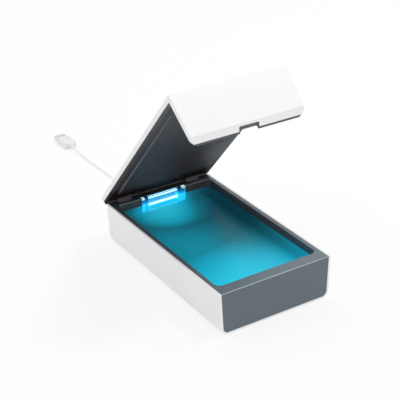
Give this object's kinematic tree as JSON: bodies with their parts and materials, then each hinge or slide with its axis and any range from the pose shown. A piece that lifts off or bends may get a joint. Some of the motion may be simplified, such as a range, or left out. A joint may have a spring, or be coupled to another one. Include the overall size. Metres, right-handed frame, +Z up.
{
  "type": "uv sanitizer box for phones",
  "caption": "Low white box with a dark tray, a bright well lit by a lamp in its rear wall, a hinged L-shaped lid standing open, and a thin white cord.",
  "frame": {"origin": "centre of the base's flat underside; the feet stand on a table 0.5 mm below it", "axes": "+Z up, +Y to the rear where the hinge and the cord are, +X to the right seen from the front"},
  "size_m": [0.116, 0.443, 0.1949],
  "materials": {
    "shell_white": "satin white moulded ABS",
    "tray_grey": "satin blue-grey moulded ABS",
    "liner_grey": "satin dark grey moulded ABS",
    "pan_mirror": "mirror-bright coated plastic, lit blue-green",
    "cover_clear": "clear moulded window",
    "lamp_glass": "glowing quartz tube",
    "lamp_metal": "bright metal",
    "holder_blue": "gloss blue moulded holder",
    "steel": "bright steel",
    "bearing": "natural acetal",
    "board_green": "solder-masked glass fibre board",
    "driver_dark": "ferrite and tape",
    "switch_black": "black moulded plastic",
    "rubber_grey": "matt rubber",
    "cord_white": "soft white cable jacket",
    "plug_white": "white moulded grip",
    "plug_steel": "nickel-plated sheet"
  },
  "bodies": {
    "base": {"base_shell": "shell_white", "inner_tray": "tray_grey", "reflector_pan": "pan_mirror", "lamp_cover": "cover_clear", "uv_lamp_tube": "lamp_glass", "lamp_caps": "lamp_metal", "lamp_holder_left": "holder_blue", "lamp_holder_right": "holder_blue", "lamp_reflector": "lamp_metal", "main_board": "board_green", "lamp_driver": "driver_dark", "board_screws": "steel", "cord_terminal": "plug_white", "cable_clamp": "switch_black", "clamp_screws": "steel", "reed_sensor": "board_green", "button_switch": "switch_black", "button_spring": "steel", "rubber_feet": "rubber_grey", "bottom_screws": "steel", "hinge_sleeves": "bearing", "strain_relief": "cord_white", "cord_inner": "cord_white", "cord_lead": "cord_white", "cord_coil": "cord_white", "cord_tail": "cord_white", "cable_tie": "switch_black", "plug_body": "plug_white", "plug_shell": "plug_steel", "plug_tongue": "plug_white"},
    "lid": {"lid_shell": "shell_white", "lid_liner": "liner_grey", "lid_magnet": "lamp_metal", "hinge_pin_left": "steel", "hinge_pin_right": "steel"},
    "button": {"power_button": "shell_white", "switch_plunger": "switch_black"}
  },
  "joints": [
    {"name": "lid_hinge", "type": "hinge", "parent": "base", "child": "lid", "pos_m": [0, 0.0965, 0.035], "axis": [-1, 0, 0], "range_deg": [-48, 32]},
    {"name": "button_press", "type": "slide", "parent": "base", "child": "button", "axis": [0, -1, 0], "range_m": [0, 0.0005], "stiffness_N_per_m": 400, "springref_m": -0.003, "deforming": ["button_spring"]}
  ]
}
